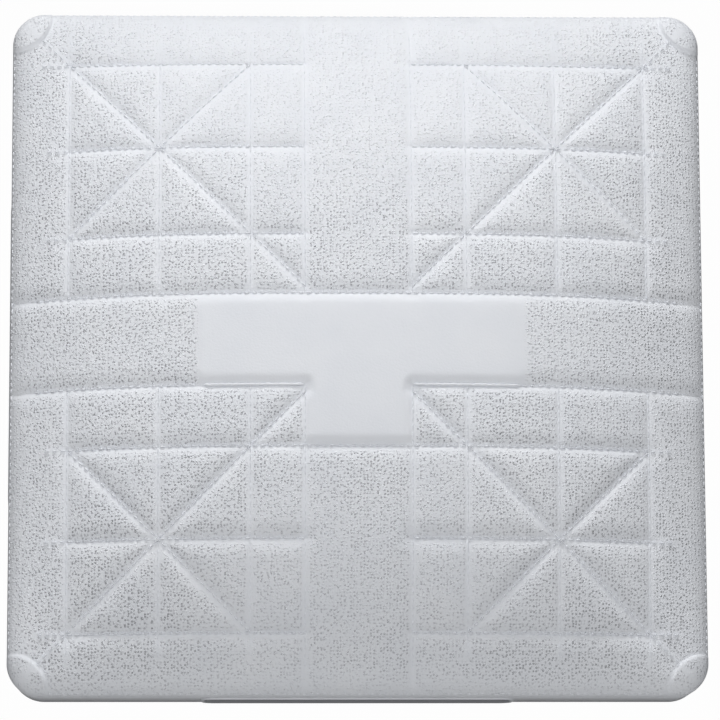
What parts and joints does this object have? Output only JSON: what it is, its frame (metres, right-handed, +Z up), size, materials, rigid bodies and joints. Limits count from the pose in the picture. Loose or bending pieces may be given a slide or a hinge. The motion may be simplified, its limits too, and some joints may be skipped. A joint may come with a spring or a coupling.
{
  "type": "baseball base",
  "caption": "Square white rubber baseball base with a crowned quilted top on a steel pan and an adjustable square stanchion.",
  "frame": {"origin": "on the stanchion's axis, level with the underside of the rubber cover", "axes": "+Z up out of the ground, +Y to the back of the base, +X to its right"},
  "size_m": [0.381, 0.381, 0.2032],
  "materials": {
    "cover_rubber": "matte",
    "foam": "matte",
    "galvanised_sheet": "satin",
    "zinc_steel": "satin"
  },
  "bodies": {
    "base": {"cover": "cover_rubber", "foam_pad": "foam", "inner_pan": "galvanised_sheet", "pan_rail_front": "galvanised_sheet", "pan_rail_rear": "galvanised_sheet", "stanchion_plate": "zinc_steel", "stanchion_socket": "zinc_steel", "plate_bolt_1": "zinc_steel", "plate_washer_1": "zinc_steel", "plate_nut_1": "zinc_steel", "plate_bolt_2": "zinc_steel", "plate_washer_2": "zinc_steel", "plate_nut_2": "zinc_steel", "plate_bolt_3": "zinc_steel", "plate_washer_3": "zinc_steel", "plate_nut_3": "zinc_steel", "plate_bolt_4": "zinc_steel", "plate_washer_4": "zinc_steel", "plate_nut_4": "zinc_steel", "lock_boss_1": "zinc_steel", "lock_boss_2": "zinc_steel", "clamp_strip_front": "galvanised_sheet", "clamp_strip_rear": "galvanised_sheet", "clamp_strip_left": "galvanised_sheet", "clamp_strip_right": "galvanised_sheet", "strip_screw_1": "zinc_steel", "strip_nut_1": "zinc_steel", "strip_screw_2": "zinc_steel", "strip_nut_2": "zinc_steel", "strip_screw_3": "zinc_steel", "strip_nut_3": "zinc_steel", "strip_screw_4": "zinc_steel", "strip_nut_4": "zinc_steel", "strip_screw_5": "zinc_steel", "strip_nut_5": "zinc_steel", "strip_screw_6": "zinc_steel", "strip_nut_6": "zinc_steel", "strip_screw_7": "zinc_steel", "strip_nut_7": "zinc_steel", "strip_screw_8": "zinc_steel", "strip_nut_8": "zinc_steel", "strip_screw_9": "zinc_steel", "strip_nut_9": "zinc_steel", "strip_screw_10": "zinc_steel", "strip_nut_10": "zinc_steel", "strip_screw_11": "zinc_steel", "strip_nut_11": "zinc_steel", "strip_screw_12": "zinc_steel", "strip_nut_12": "zinc_steel"},
    "stanchion": {"stanchion_leg": "zinc_steel"},
    "lock_1": {"lock_screw_1": "zinc_steel"},
    "lock_2": {"lock_screw_2": "zinc_steel"},
    "jam_1": {"jam_nut_1": "zinc_steel"},
    "jam_2": {"jam_nut_2": "zinc_steel"}
  },
  "joints": [
    {"name": "leg_slide", "type": "slide", "parent": "base", "child": "stanchion", "axis": [0, 0, 1], "range_m": [-0.0127, 0.0127]},
    {"name": "lock_1_turn", "type": "hinge", "parent": "base", "child": "lock_1", "pos_m": [0, 0, 0.01], "axis": [1, 0, 0], "range_deg": [0, 360]},
    {"name": "jam_1_turn", "type": "hinge", "parent": "base", "child": "jam_1", "pos_m": [0, 0, 0.01], "axis": [1, 0, 0], "range_deg": [0, 360]},
    {"name": "lock_2_turn", "type": "hinge", "parent": "base", "child": "lock_2", "pos_m": [0, 0, 0.01], "axis": [0, -1, 0], "range_deg": [0, 360]},
    {"name": "jam_2_turn", "type": "hinge", "parent": "base", "child": "jam_2", "pos_m": [0, 0, 0.01], "axis": [0, -1, 0], "range_deg": [0, 360]}
  ]
}
